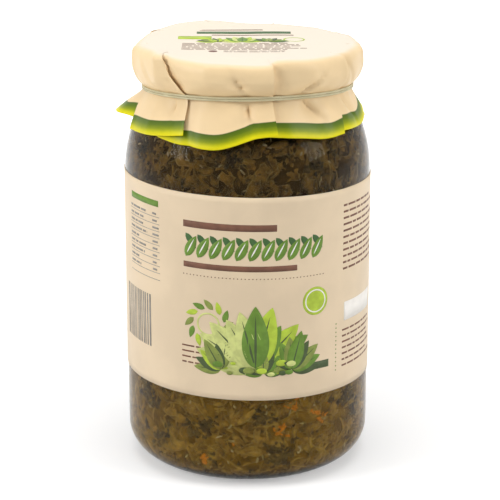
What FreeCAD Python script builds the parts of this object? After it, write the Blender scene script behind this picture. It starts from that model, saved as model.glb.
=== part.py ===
"""Jar of sauerkraut with kale: a glass jar, its contents, a wrap-round label, a closed cap
under a gathered paper cover, and the elastic band that holds the paper.

Millimetres, +Z up. The origin is the centre of the base, and the front of the label faces -Y.
Angles round the jar are in degrees from the front, and grow towards +X.
"""

import FreeCAD
import Part

import math
import os

# Glass jar. The neck's radius follows from the body's and from the shoulder's three curves.
BODY_DIAMETER = 96.0
JAR_HEIGHT = 164.6          # up to the sealing lip
WALL = 2.5
BASE_THICKNESS = 3.6
HEEL_RADIUS = 13.0
BEARING_WIDTH = 3.0         # flat ring that the jar stands on
PUNT_HEIGHT = 2.2           # how far the middle of the base is pushed up
SHOULDER_RADIUS = 50.0      # the long curve above the straight wall
SHOULDER_SWEEP = 20.0
TURN_RADIUS = 9.0           # the tighter curve that goes over to the neck
TURN_SWEEP = 50.0
NECK_FILLET = 2.0
NECK_HEIGHT = 12.6
FINISH_STEP = 2.5           # how far the finish stands out from the neck
FINISH_CHAMFER = 1.5
FINISH_HEIGHT = 9.5
LIP_RADIUS = 1.0

# Contents
FILL_DROP = 16.0            # from the lip down to the level inside
FILL_CLEARANCE = 0.05

# Label
LABEL_HEEL_MARGIN = 24.0    # from the top of the heel's curve up to the label
LABEL_SHOULDER_MARGIN = 0.0
LABEL_THICKNESS = 0.2
LABEL_CLEARANCE = 0.05
LABEL_TILT = 1.2            # it was put on a little askew, lower towards +X
LAP_LENGTH = 8.0            # where its ends overlap, at the back

# Cap and paper cover
CAP_THICKNESS = 1.4         # cap and paper together, above the lip
CAP_CLEARANCE = 0.1
CAP_WALL = 3.4              # how far the paper round the cap stands out from the finish
CAP_TUCK = 2.0              # from the finish's lower edge up to where the paper turns in
CAP_EDGE = 2.6              # the soft edge between the top and the side
GATHER_THICKNESS = 1.5      # bunched paper under the band
WAIST_DROP = 4.2            # from the finish down to the middle of the band
WAIST_LAND = 1.2            # half the height that the band presses flat
WAIST_LEAN = 3.7            # the waist and band sit higher at the front,
WAIST_TILT = 0.4            # and a little higher towards +X, in degrees
PAPER_THICKNESS = 0.5
SKIRT_DROP = 14.7           # from the middle of the band down to the hem
SKIRT_FLARE = 6.9           # how far the hem stands out from the waist
SIDE_PUFF = 0.7             # how far each panel's middle stands out round the cap
POINTS_PER_PANEL = 10

# Panels of the gathered paper: where each starts, how far its hem stands out beyond the
# flare, and how far its hem rises. Each starts under the end of the one before.
PANELS = (
    (-74, 2.2, 1.9),
    (-31, 1.6, 3.9),
    (14, 2.2, 1.2),
    (54, 1.8, 1.0),
    (82, 2.4, 2.2),
    (127, 1.9, 1.4),
    (168, 2.5, 2.8),
    (206, 2.0, 1.6),
    (244, 3.6, 3.4),
)
PANEL_SKEW = 2.0            # above 1, a panel stands out most towards its far end

# Elastic band, wound twice
STRAND_RADIUS = 0.55
STRAND_SPACING = 0.95       # less than two radii, so that the two turns are one solid
BAND_CLEARANCE = 0.12

UP = FreeCAD.Vector(0, 0, 1)
ORIGIN = FreeCAD.Vector(0, 0, 0)

BODY_RADIUS = BODY_DIAMETER / 2
FINISH_Z = JAR_HEIGHT - FINISH_HEIGHT
NECK_TOP_Z = FINISH_Z - FINISH_CHAMFER
WAIST_Z = NECK_TOP_Z - WAIST_DROP


class Profile:
    """An outline of lines and arcs in the XZ plane, drawn point by point and turned about Z."""

    def __init__(self, x, z):
        self.start = self.at = (x, z)
        self.edges = []

    def line(self, x, z):
        if math.hypot(x - self.at[0], z - self.at[1]) > 1e-7:
            self.edges.append(Part.LineSegment(place(self.at), place((x, z))).toShape())
            self.at = (x, z)
        return self

    def arc(self, radius, from_deg, to_deg):
        """An arc from here on. The angles are those of its two ends, seen from its centre."""
        ends = math.radians(from_deg), math.radians(to_deg)
        centre_x = self.at[0] - radius * math.cos(ends[0])
        centre_z = self.at[1] - radius * math.sin(ends[0])
        middle, end = [
            (centre_x + radius * math.cos(a), centre_z + radius * math.sin(a))
            for a in (sum(ends) / 2, ends[1])
        ]
        return self.arc_through(middle, end)

    def arc_through(self, middle, end):
        self.edges.append(Part.Arc(place(self.at), place(middle), place(end)).toShape())
        self.at = end
        return self

    def turned(self):
        self.line(*self.start)
        return outward(Part.Face(Part.Wire(self.edges)).revolve(ORIGIN, UP, 360))

    def skins(self):
        """The faces that the open outline makes when it is turned."""
        return Part.Wire(self.edges).revolve(ORIGIN, UP, 360).Faces


def place(point):
    return FreeCAD.Vector(point[0], 0, point[1])


def outward(solid):
    return solid if solid.Volume > 0 else solid.reversed()


def shoulder_height():
    """From the end of the straight wall up to the foot of the neck."""
    sweep, turn = math.radians(SHOULDER_SWEEP), math.radians(SHOULDER_SWEEP + TURN_SWEEP)
    long_curve = SHOULDER_RADIUS * math.sin(sweep)
    turn_curve = TURN_RADIUS * (math.sin(turn) - math.sin(sweep))
    return long_curve + turn_curve + NECK_FILLET * math.sin(turn)


SHOULDER_Z = NECK_TOP_Z - NECK_HEIGHT - shoulder_height()


def glass_outline(inset, floor):
    """From the middle of the base to the top of the neck, moved in by inset and up by floor."""
    bearing_outer = BODY_RADIUS - HEEL_RADIUS
    bearing_inner = bearing_outer - BEARING_WIDTH
    turn = SHOULDER_SWEEP + TURN_SWEEP
    p = Profile(0, PUNT_HEIGHT + floor)
    p.arc_through((bearing_inner / 2, PUNT_HEIGHT * 0.75 + floor), (bearing_inner, floor))
    p.line(bearing_outer, floor)
    p.arc_through(*heel(inset, floor))
    p.line(BODY_RADIUS - inset, SHOULDER_Z)
    p.arc(SHOULDER_RADIUS - inset, 0, SHOULDER_SWEEP)
    p.arc(TURN_RADIUS - inset, SHOULDER_SWEEP, turn)
    p.arc(NECK_FILLET + inset, turn - 180, -180)
    return p.line(p.at[0], NECK_TOP_Z)


def heel(inset, floor):
    """Middle and end of the rounded heel's curve, from the base to the wall."""
    middle_x = BODY_RADIUS - HEEL_RADIUS + (HEEL_RADIUS - inset) * math.sqrt(0.5)
    middle_z = HEEL_RADIUS - (HEEL_RADIUS - floor) * math.sqrt(0.5)
    return (middle_x, middle_z), (BODY_RADIUS - inset, HEEL_RADIUS)


NECK_RADIUS = glass_outline(0, 0).at[0]
FINISH_RADIUS = NECK_RADIUS + FINISH_STEP
WAIST_RADIUS = NECK_RADIUS + GATHER_THICKNESS


def glass():
    """The jar: outside from the base up to the lip, and back down inside."""
    p = glass_outline(0, 0)
    p.line(FINISH_RADIUS, FINISH_Z)
    p.line(FINISH_RADIUS, JAR_HEIGHT - LIP_RADIUS)
    p.arc(LIP_RADIUS, 0, 90)
    inside = glass_outline(WALL, BASE_THICKNESS)
    mouth_radius = inside.at[0]
    p.line(mouth_radius + LIP_RADIUS, JAR_HEIGHT)
    p.arc(LIP_RADIUS, 90, 180)
    p.line(*inside.at)
    p.edges += reversed(inside.edges)
    p.at = inside.start
    return p.turned()


def contents():
    """All that fills the glass, up to its level, kept just clear of the wall."""
    fill = glass_outline(WALL + FILL_CLEARANCE, BASE_THICKNESS + FILL_CLEARANCE)
    fill.line(fill.at[0], JAR_HEIGHT)
    fill.line(0, JAR_HEIGHT)
    above = Part.makeCylinder(BODY_DIAMETER, JAR_HEIGHT, place((0, JAR_HEIGHT - FILL_DROP)))
    return fill.turned().cut(above)


def label():
    """A strip of paper round the straight wall. Its ends lap over each other at the back."""
    inner = BODY_RADIUS + LABEL_CLEARANCE
    middle = inner + LABEL_THICKNESS
    outer = middle + LABEL_THICKNESS
    low = HEEL_RADIUS + LABEL_HEEL_MARGIN
    height = SHOULDER_Z - LABEL_SHOULDER_MARGIN - low

    def tube(radius, bore, degrees):
        """Longer than the label, which is cut from it askew."""
        foot, length = place((0, low - height / 2)), 2 * height
        solid = Part.makeCylinder(radius, length, foot, UP, degrees)
        return solid.cut(Part.makeCylinder(bore, length, foot))

    lap_degrees = math.degrees(LAP_LENGTH / middle)
    lap = tube(outer, middle, lap_degrees)
    lap.rotate(ORIGIN, UP, 90 - lap_degrees / 2)
    strip = tube(middle, inner, 360).fuse(lap).removeSplitter()
    slab = Part.makeCylinder(BODY_DIAMETER, height, place((0, low)))
    slab.rotate(place((0, low + height / 2)), FreeCAD.Vector(0, 1, 0), LABEL_TILT)
    return strip.common(slab).Solids[0]


def panel_ends():
    starts = [panel[0] for panel in PANELS]
    return list(zip(starts, starts[1:] + [starts[0] + 360], PANELS))


def lean(x, y):
    """How much higher the leaning waist is here than on the axis."""
    return x * math.tan(math.radians(WAIST_TILT)) - y * math.tan(math.radians(WAIST_LEAN))


def cover_wire(radius, height, hem_share, puff, lean_share):
    """One closed curve round the paper. Its panels stand out between their folds."""
    points = []
    for start, end, (_, stand_out, rise) in panel_ends():
        for step in range(POINTS_PER_PANEL):
            part_way = step / POINTS_PER_PANEL
            swell = math.sin(math.pi * part_way ** PANEL_SKEW)
            turn = math.radians(start + (end - start) * part_way)
            r = radius + swell * (puff + hem_share * stand_out)
            x, y = r * math.sin(turn), -r * math.cos(turn)
            z = height + swell * hem_share * rise + lean_share * lean(x, y)
            points.append(FreeCAD.Vector(x, y, z))
    curve = Part.BSplineCurve()
    curve.interpolate(points, PeriodicFlag=True)
    return Part.Wire(curve.toShape())


def side_wires():
    """The paper's outside from its flat top down to the waist."""
    top = JAR_HEIGHT + CAP_THICKNESS
    side = FINISH_RADIUS + CAP_WALL
    under = FINISH_Z + CAP_TUCK
    tuck = (under + WAIST_Z + WAIST_LAND) / 2
    return [
        cover_wire(side - 2.2 * CAP_EDGE, top, 0, 0, 0),
        cover_wire(side - CAP_EDGE, top - 0.12 * CAP_EDGE, 0, 0, 0),
        cover_wire(side - 0.3 * CAP_EDGE, top - 0.5 * CAP_EDGE, 0, SIDE_PUFF / 2, 0),
        cover_wire(side, top - 1.4 * CAP_EDGE, 0, SIDE_PUFF, 0),
        cover_wire(side - 0.1 * CAP_WALL, under, 0, SIDE_PUFF, 0.1),
        cover_wire((side + WAIST_RADIUS) / 2, tuck, 0, SIDE_PUFF / 2, 0.6),
        cover_wire(WAIST_RADIUS, WAIST_Z + WAIST_LAND, 0, 0, 1),
        cover_wire(WAIST_RADIUS, WAIST_Z - WAIST_LAND, 0, 0, 1),
    ]


def skirt_wires(inset, top, leaning):
    """The skirt from its top down to the hem. Its paper bends outwards and hangs straight."""
    hem = WAIST_Z - SKIRT_DROP
    wires = []
    for share in (0, 0.12, 0.34, 0.56, 0.78, 1):
        flare = SKIRT_FLARE * math.sin(math.pi / 2 * share) ** 1.2
        z = top + (hem - top) * share
        wires.append(cover_wire(WAIST_RADIUS + flare - inset, z, share, 0, leaning * (1 - share)))
    return wires


def lofted(wires):
    return Part.makeLoft(wires, False, False).Faces


def cover():
    """Paper over a closed cap, as one solid with a recess that fits the jar's finish."""
    waist_foot = WAIST_Z - WAIST_LAND
    inner_top = waist_foot - lean(0, -WAIST_RADIUS) - lean(WAIST_RADIUS, 0)
    outer_side, outer_skirt = side_wires(), skirt_wires(0, waist_foot, 1)
    inner_skirt = skirt_wires(PAPER_THICKNESS, inner_top, 0)
    recess = Profile(0, JAR_HEIGHT)
    recess.line(FINISH_RADIUS + CAP_CLEARANCE, JAR_HEIGHT)
    recess.line(FINISH_RADIUS + CAP_CLEARANCE, FINISH_Z)
    recess.line(NECK_RADIUS + CAP_CLEARANCE, NECK_TOP_Z)
    recess.line(NECK_RADIUS + CAP_CLEARANCE, inner_top)
    mouth = Part.Face(Part.Wire(Part.makeCircle(recess.at[0], place((0, recess.at[1])))))

    faces = [Part.Face(outer_side[0])]
    faces += lofted(outer_side) + lofted(outer_skirt) + lofted(inner_skirt)
    faces += [Part.makeRuledSurface(outer_skirt[-1], inner_skirt[-1])]
    faces += Part.Face(inner_skirt[0]).cut(mouth).Faces
    faces += recess.skins()
    shell = Part.makeCompound(faces)
    shell.sewShape()
    return outward(Part.Solid(shell.Shells[0]))


def band():
    """An elastic that goes twice round the waist, one turn above the other."""
    radius = WAIST_RADIUS + BAND_CLEARANCE + STRAND_RADIUS
    low, high = [
        Part.makeTorus(radius, STRAND_RADIUS, place((0, WAIST_Z + side * STRAND_SPACING / 2)))
        for side in (-1, 1)
    ]
    turns = low.fuse(high)
    turns.rotate(place((0, WAIST_Z)), FreeCAD.Vector(0, 1, 0), -WAIST_TILT)
    turns.rotate(place((0, WAIST_Z)), FreeCAD.Vector(1, 0, 0), -WAIST_LEAN)
    return turns.Solids[0]


def main():
    nodes = {
        "glass_jar": glass(),
        "contents": contents(),
        "label": label(),
        "paper_cover": cover(),
        "elastic_band": band(),
    }
    os.makedirs("parts", exist_ok=True)
    for name, shape in nodes.items():
        box = shape.optimalBoundingBox()
        corners = [round(v, 2) for v in (box.XMin, box.YMin, box.ZMin, box.XMax, box.YMax, box.ZMax)]
        print(name, len(shape.Solids), "solid", shape.isValid(), round(shape.Volume / 1000, 1), "cm3", corners)
        shape.exportStep(f"parts/{name}.step")


main()
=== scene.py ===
"""Looks of the jar of sauerkraut with kale: glass, contents, label, gathered paper cover, elastic.

Metres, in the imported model's frame: +Z up, the label's front faces -Y. Angles round the jar are
in degrees from the front, and grow towards +X. Sizes are written in millimetres, times MM.
"""

import math
import random
from collections import namedtuple

import bmesh
import bpy
import numpy as np
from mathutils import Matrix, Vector, noise


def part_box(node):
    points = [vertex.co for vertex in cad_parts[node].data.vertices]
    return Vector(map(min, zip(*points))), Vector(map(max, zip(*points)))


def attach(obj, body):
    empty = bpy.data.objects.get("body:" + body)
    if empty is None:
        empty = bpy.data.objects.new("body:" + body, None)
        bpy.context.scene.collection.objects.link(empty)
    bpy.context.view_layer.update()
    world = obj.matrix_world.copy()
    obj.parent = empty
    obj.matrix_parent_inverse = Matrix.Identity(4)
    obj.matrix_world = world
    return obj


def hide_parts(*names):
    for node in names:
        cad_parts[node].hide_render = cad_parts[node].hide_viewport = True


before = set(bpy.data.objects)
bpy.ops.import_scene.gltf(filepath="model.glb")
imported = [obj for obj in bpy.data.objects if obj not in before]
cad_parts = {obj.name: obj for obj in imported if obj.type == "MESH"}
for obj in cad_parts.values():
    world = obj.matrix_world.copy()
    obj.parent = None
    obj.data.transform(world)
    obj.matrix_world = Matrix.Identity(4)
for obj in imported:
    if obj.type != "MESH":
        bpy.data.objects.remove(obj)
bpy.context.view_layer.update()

MM = 0.001

# Glass, as in the CAD model
BODY_RADIUS = 48.0 * MM
WALL = 2.5 * MM
BASE_THICKNESS = 3.6 * MM
HEEL_RADIUS = 13.0 * MM
BEARING_WIDTH = 3.0 * MM
PUNT_HEIGHT = 2.2 * MM
SHOULDER_RADIUS = 50.0 * MM
SHOULDER_SWEEP = 20.0
TURN_RADIUS = 9.0 * MM
TURN_SWEEP = 50.0
NECK_FILLET = 2.0 * MM
NECK_HEIGHT = 12.6 * MM
FINISH_STEP = 2.5 * MM
FINISH_CHAMFER = 1.5 * MM
FINISH_HEIGHT = 9.5 * MM
LIP_RADIUS = 1.0 * MM
JAR_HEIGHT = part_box("glass_jar")[1][2]
FILL_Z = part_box("contents")[1][2]
NECK_TOP_Z = JAR_HEIGHT - FINISH_HEIGHT - FINISH_CHAMFER

# Label, as in the CAD model
LABEL_RADIUS = 48.06 * MM
LABEL_THICKNESS = 0.2 * MM
LABEL_TILT = math.tan(math.radians(1.2))
LABEL_LOW = HEEL_RADIUS + 24.0 * MM

# Camera: in front of the jar and above it, tilted down by CAMERA_PITCH degrees
CAMERA_DISTANCE = 736.4 * MM
CAMERA_HEIGHT = 302.9 * MM
CAMERA_PITCH = 16.68
CAMERA_LENS = 139.4
CAMERA_SHIFT = 0.0049


# --- meshes

def linked(name, data):
    """A new object in the scene."""
    obj = bpy.data.objects.new(name, data)
    bpy.context.scene.collection.objects.link(obj)
    return obj


def add_mesh(name, points, faces, smooth=True, attributes=None):
    """A mesh object from points and faces. attributes maps a name to one number per point."""
    mesh = bpy.data.meshes.new(name)
    mesh.from_pydata([tuple(p) for p in points], [], faces)
    for key, values in (attributes or {}).items():
        layer = mesh.attributes.new(key, "FLOAT", "POINT")
        layer.data.foreach_set("value", np.asarray(values, dtype=np.float32))
    mesh.polygons.foreach_set("use_smooth", [smooth] * len(mesh.polygons))
    return linked(name, mesh)


def clean(obj, distance=1e-7):
    """Merges points that coincide, and turns all faces outwards."""
    work = bmesh.new()
    work.from_mesh(obj.data)
    bmesh.ops.remove_doubles(work, verts=work.verts, dist=distance)
    bmesh.ops.dissolve_degenerate(work, edges=work.edges, dist=distance)
    bmesh.ops.recalc_face_normals(work, faces=work.faces)
    work.to_mesh(obj.data)
    work.free()
    return obj


def grid_faces(rows, columns, first=0, wrap_rows=False, wrap_columns=False):
    """Four-sided faces over a grid of points that are numbered row by row."""
    faces = []
    for i in range(rows if wrap_rows else rows - 1):
        for j in range(columns if wrap_columns else columns - 1):
            near, far = first + i * columns, first + (i + 1) % rows * columns
            here, there = j, (j + 1) % columns
            faces.append((near + here, near + there, far + there, far + here))
    return faces


def turned(name, outline, segments):
    """The surface that an outline of (radius, height) makes when it is turned about Z."""
    points = []
    for radius, height in outline:
        for k in range(segments):
            turn = 2 * math.pi * k / segments
            points.append((radius * math.sin(turn), -radius * math.cos(turn), height))
    return clean(add_mesh(name, points, grid_faces(len(outline), segments, wrap_columns=True)))


def solidify(obj, thickness):
    """Gives a sheet its thickness, below the surface as it is drawn."""
    modifier = obj.modifiers.new("thickness", "SOLIDIFY")
    modifier.thickness = thickness
    modifier.offset = -1


def smoothstep(x):
    x = min(max(x, 0.0), 1.0)
    return x * x * (3 - 2 * x)


def through(knots, at):
    """A smooth curve through (place, value) knots, read at one place."""
    places = [knot[0] for knot in knots]
    if at <= places[0]:
        return knots[0][1]
    if at >= places[-1]:
        return knots[-1][1]
    i = max(k for k in range(len(places) - 1) if places[k] <= at)
    before, after = knots[max(i - 1, 0)], knots[min(i + 2, len(knots) - 1)]
    (x0, y0), (x1, y1) = knots[i], knots[i + 1]
    slope0 = (y1 - before[1]) / (x1 - before[0])
    slope1 = (after[1] - y0) / (after[0] - x0)
    span = x1 - x0
    t = (at - x0) / span
    return (
        y0 * (2 * t**3 - 3 * t**2 + 1)
        + slope0 * span * (t**3 - 2 * t**2 + t)
        + y1 * (3 * t**2 - 2 * t**3)
        + slope1 * span * (t**3 - t**2)
    )


# --- materials

# The inputs of a colour Mix node
MIX_SHARE, MIX_FIRST, MIX_SECOND = 0, 6, 7
# Heights between which painted shade on the contents goes over from nearly black at the very base,
# and into painted shade up under the cover
SHADED_BASE = 3.4 * MM, 6.2 * MM
SHADED_TOP = 55 * MM, 105 * MM


class Nodes:
    """Adds nodes to a node tree. A value is a socket to link, a colour or a number."""

    def __init__(self, tree):
        self.nodes, self.links = tree.nodes, tree.links

    def feed(self, socket, value):
        if isinstance(value, bpy.types.NodeSocket):
            self.links.new(value, socket)
        elif isinstance(value, tuple):
            socket.default_value = (*value, 1)
        else:
            socket.default_value = value

    def add(self, kind, inputs=None, **settings):
        node = self.nodes.new("ShaderNode" + kind)
        for key, value in settings.items():
            setattr(node, key, value)
        for key, value in (inputs or {}).items():
            self.feed(node.inputs[key], value)
        return node

    def math(self, operation, first, second, **settings):
        return self.add("Math", {0: first, 1: second}, operation=operation, **settings).outputs[0]

    def range(self, value, low, high, to_low=0.0, to_high=1.0):
        names = "Value", "From Min", "From Max", "To Min", "To Max"
        inputs = dict(zip(names, (value, low, high, to_low, to_high)))
        return self.add("MapRange", inputs, interpolation_type="SMOOTHSTEP").outputs["Result"]

    def background_rays(self):
        """1 for rays that show the background: straight, by gloss or through glass. 0 for light."""
        path = self.add("LightPath").outputs
        rays = self.math("MAXIMUM", path["Is Camera Ray"], path["Is Glossy Ray"], use_clamp=True)
        rays = self.math("MAXIMUM", rays, path["Is Transmission Ray"], use_clamp=True)
        return self.math("SUBTRACT", rays, path["Diffuse Depth"], use_clamp=True)


class Look(Nodes):
    """A node material. Even values are set on the shader, and patterns are linked to it."""

    def __init__(self, name, **values):
        self.material = bpy.data.materials.new(name)
        self.material.use_nodes = True
        super().__init__(self.material.node_tree)
        self.shader = self.nodes["Principled BSDF"]
        self.set(**values)

    def set(self, **values):
        for key, value in values.items():
            self.shader.inputs[key.replace("_", " ")].default_value = value

    def place(self):
        return self.add("TexCoord").outputs["Object"]

    def noise(self, scale, detail=3, roughness=0.5, distortion=0.0):
        """Noise whose cells are about 1/scale metres."""
        names = "Vector", "Scale", "Detail", "Roughness", "Distortion"
        inputs = dict(zip(names, (self.place(), scale, detail, roughness, distortion)))
        return self.add("TexNoise", inputs).outputs["Fac"]

    def height(self, low, high):
        """0 below low, 1 above high, in between along Z."""
        z = self.add("SeparateXYZ", {"Vector": self.place()}).outputs["Z"]
        return self.range(z, low, high)

    def painted_shade_by_height(self, low, high):
        """The contents' colour with painted shade: nearly black at the very base, and darker up
        under the cover, which shades it.
        """
        body = self.mix(self.height(*SHADED_TOP), low, high)
        return self.mix(self.height(*SHADED_BASE), (0.012, 0.011, 0.004), body)

    def attribute(self, name):
        return self.add("Attribute", attribute_name=name).outputs["Fac"]

    def island(self):
        return self.add("NewGeometry").outputs["Random Per Island"]

    def ramp(self, value, *stops):
        """Colours at places from 0 to 1."""
        node = self.add("ValToRGB", {"Fac": value})
        elements = node.color_ramp.elements
        while len(elements) < len(stops):
            elements.new(1.0)
        for element, (position, colour) in zip(elements, stops):
            element.position = position
            element.color = (*colour, 1)
        return node.outputs["Color"]

    def mix(self, share, first, second):
        inputs = {MIX_SHARE: share, MIX_FIRST: first, MIX_SECOND: second}
        return self.add("Mix", inputs, data_type="RGBA").outputs[2]

    def colour(self, socket):
        self.links.new(socket, self.shader.inputs["Base Color"])

    def bump(self, socket, depth, strength=1.0):
        inputs = {"Height": socket, "Distance": depth, "Strength": strength}
        self.links.new(self.add("Bump", inputs).outputs["Normal"], self.shader.inputs["Normal"])
        return self


def glass_look():
    look = Look("clear_glass", Roughness=0.05, IOR=1.26, Transmission_Weight=1.0)
    look.set(Base_Color=(0.97, 0.97, 0.93, 1), Specular_Tint=(0.35, 0.31, 0.25, 1))
    return look.bump(look.noise(60, detail=1), 0.25 * MM, 0.35).material


def core_look():
    """Brine and packed shreds seen in depth: golden low down, and dark brown in painted shade under
    the shoulder.
    """
    look = Look("packed_kraut", Roughness=0.8, Specular_IOR_Level=0.05)
    patches = look.noise(110, detail=4, distortion=1.2)
    low = look.ramp(
        patches,
        (0.3, (0.08, 0.041, 0.005)), (0.5, (0.18, 0.098, 0.013)), (0.72, (0.30, 0.170, 0.027)))
    # The same kraut in painted shade, for up under the cover
    high = look.ramp(
        patches,
        (0.3, (0.016, 0.009, 0.002)), (0.52, (0.048, 0.026, 0.006)), (0.75, (0.10, 0.056, 0.014)))
    look.colour(look.painted_shade_by_height(low, high))
    return look.bump(look.noise(380, detail=4), 0.6 * MM, 0.7).material


def shred_look(name, low_dark, low_light, shaded_top_dark, shaded_top_light, edge):
    """Pieces that differ from one to the next, with edges lightened by a painted reflection, and
    darker up under the cover by painted shade.
    """
    look = Look(name, Roughness=0.6, Specular_IOR_Level=0.1)
    look.set(Subsurface_Weight=0.3, Subsurface_Scale=1.5 * MM, Subsurface_Radius=(1.0, 0.6, 0.2))
    mottle = look.range(look.noise(300, detail=4, roughness=0.6), 0.3, 0.7, 0.0, 0.65)
    tone = look.math("ADD", look.math("MULTIPLY", look.island(), 0.35), mottle)
    low = look.ramp(tone, (0.1, low_dark), (0.9, low_light))
    # The same piece in painted shade, for up under the cover
    high = look.ramp(tone, (0.1, shaded_top_dark), (0.9, shaded_top_light))
    body = look.painted_shade_by_height(low, high)
    # Painted reflection: edges that press on the glass go over to a pale tan
    rim = look.math("MULTIPLY", look.range(look.attribute("edge"), 0.55, 1.0), edge)
    look.colour(look.mix(rim, body, (0.55, 0.42, 0.17)))
    return look.bump(look.noise(900), 0.25 * MM, 0.5).material


def paper_look(name, colour, rough):
    """Uncoated pale paper, a little mottled. Gives the look, its colour and its fine fibre."""
    look = Look(name, Roughness=rough, Specular_IOR_Level=0.3, Sheen_Weight=0.08)
    darker = tuple(0.93 * c for c in colour)
    mottle = look.mix(look.range(look.noise(55, detail=5), 0.35, 0.65), colour, darker)
    look.colour(mottle)
    fibres = look.noise(1800, detail=2, roughness=0.7)
    return look, mottle, fibres


def label_look():
    look, _, fibres = paper_look("label_paper", (0.77, 0.615, 0.425), 0.5)
    return look.bump(fibres, 0.04 * MM, 0.25).material


# The paper's "hem" value counts border widths up the skirt. Above it, these mark side and top,
# between which the top's painted sheen comes in.
SIDE_MARK, TOP_MARK = 9.0, 12.0


def cover_look():
    """Cream paper with a printed border: dark green that runs into bright yellow at the hem, and a
    top painted paler for its sheen.
    """
    look, cream, fibres = paper_look("cover_paper", (0.87, 0.655, 0.38), 0.38)
    look.set(Sheen_Weight=0.0, Specular_IOR_Level=0.18)
    hem = look.attribute("hem")
    streaks = look.math("MULTIPLY", look.noise(420, detail=2), 0.10)
    border = look.ramp(
        look.math("ADD", look.math("SUBTRACT", hem, 0.05), streaks),
        (0.02, (0.78, 0.69, 0.004)),
        (0.22, (0.60, 0.57, 0.004)),
        (0.45, (0.26, 0.31, 0.005)),
        (0.70, (0.11, 0.17, 0.004)),
        (0.95, (0.062, 0.115, 0.006)),
    )
    # Painted sheen: the top goes over to a paler cream
    painted_sheen_top = look.mix(look.range(hem, SIDE_MARK, TOP_MARK), cream, (0.80, 0.705, 0.575))
    look.colour(look.mix(look.range(hem, 0.97, 1.04), border, painted_sheen_top))
    return look.bump(fibres, 0.05 * MM, 0.3).material


def ink_look(name, colour, spread):
    """Flat printing ink, a little uneven."""
    look = Look(name, Roughness=0.5, Specular_IOR_Level=0.3)
    low = tuple(c * (1 - spread) for c in colour)
    high = tuple(min(1, c * (1 + spread)) for c in colour)
    look.colour(look.mix(look.range(look.noise(300, detail=3), 0.35, 0.65), low, high))
    return look.bump(look.noise(1500), 0.02 * MM, 0.3).material


def elastic_look():
    look = Look("elastic", Roughness=0.6, Specular_IOR_Level=0.35, Sheen_Weight=0.15)
    threads = look.noise(160, detail=2)
    look.colour(look.ramp(threads, (0.35, (0.52, 0.46, 0.27)), (0.65, (0.62, 0.56, 0.36))))
    return look.bump(look.noise(2600, detail=2), 0.02 * MM, 0.3).material


# --- glass

def keep(obj, material, slot, *replaced):
    """Gives a piece its material, and lets it ride with the jar."""
    obj.data.materials.clear()
    obj.data.materials.append(material)
    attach(obj, "root")
    if replaced:
        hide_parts(*replaced)


def arc_points(start, radius, from_deg, to_deg, steps):
    """Points along an arc that begins at start, without start itself."""
    first = math.radians(from_deg)
    centre = start[0] - radius * math.cos(first), start[1] - radius * math.sin(first)
    angles = [math.radians(from_deg + (to_deg - from_deg) * k / steps) for k in range(1, steps + 1)]
    return [(centre[0] + radius * math.cos(a), centre[1] + radius * math.sin(a)) for a in angles]


BASE_STEPS, HEEL_STEPS, BODY_STEPS = 8, 14, 12


def glass_outline(inset, floor):
    """From the middle of the base to the top of the neck, moved in by inset and up by floor."""
    bearing_outer = BODY_RADIUS - HEEL_RADIUS
    bearing_inner = bearing_outer - BEARING_WIDTH
    points = []
    for k in range(BASE_STEPS + 1):
        share = k / BASE_STEPS
        points.append((bearing_inner * share, floor + PUNT_HEIGHT * (1 - share**2)))
    points.append((bearing_outer, floor))
    for k in range(1, HEEL_STEPS + 1):
        turn = math.pi / 2 * k / HEEL_STEPS
        x = BODY_RADIUS - HEEL_RADIUS + (HEEL_RADIUS - inset) * math.sin(turn)
        points.append((x, HEEL_RADIUS - (HEEL_RADIUS - floor) * math.cos(turn)))
    turn = SHOULDER_SWEEP + TURN_SWEEP
    sweep = math.radians(SHOULDER_SWEEP)
    curves = SHOULDER_RADIUS * math.sin(sweep) + NECK_FILLET * math.sin(math.radians(turn))
    curves += TURN_RADIUS * (math.sin(math.radians(turn)) - math.sin(sweep))
    shoulder_z = NECK_TOP_Z - NECK_HEIGHT - curves
    for k in range(1, BODY_STEPS + 1):
        rise = (shoulder_z - HEEL_RADIUS) * k / BODY_STEPS
        points.append((BODY_RADIUS - inset, HEEL_RADIUS + rise))
    points += arc_points(points[-1], SHOULDER_RADIUS - inset, 0, SHOULDER_SWEEP, 10)
    points += arc_points(points[-1], TURN_RADIUS - inset, SHOULDER_SWEEP, turn, 8)
    points += arc_points(points[-1], NECK_FILLET + inset, turn - 180, -180, 6)
    points.append((points[-1][0], NECK_TOP_Z))
    return points


# The fine bumps in a ring that the jar stands on
KNURLS = 150
KNURL_RADIUS = 37.5 * MM
KNURL_WIDTH = 1.4 * MM
KNURL_HEIGHT = 0.22 * MM
KNURL_TOP = 1.2 * MM


def make_glass():
    """The wall with its real thickness, and a ring of small bumps that it stands on."""
    outside = glass_outline(0, 0)
    inside = glass_outline(WALL, BASE_THICKNESS)
    finish_radius = outside[-1][0] + FINISH_STEP
    finish_z = NECK_TOP_Z + FINISH_CHAMFER
    rim = [(finish_radius, finish_z), (finish_radius, JAR_HEIGHT - LIP_RADIUS)]
    rim += arc_points(rim[-1], LIP_RADIUS, 0, 90, 4)
    rim.append((inside[-1][0] + LIP_RADIUS, JAR_HEIGHT))
    rim += arc_points(rim[-1], LIP_RADIUS, 90, 180, 4)
    glass = turned("glass_wall", outside + rim + inside[::-1], segments=256)
    for vertex in glass.data.vertices:
        x, y, z = vertex.co
        near = math.exp(-((math.hypot(x, y) - KNURL_RADIUS) / KNURL_WIDTH) ** 2)
        if z < KNURL_TOP:
            bump = 1 - abs(math.sin(KNURLS / 2 * math.atan2(x, y)))
            vertex.co.z += KNURL_HEIGHT * near * bump
    keep(glass, glass_look(), "glass", "glass_jar")


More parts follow.
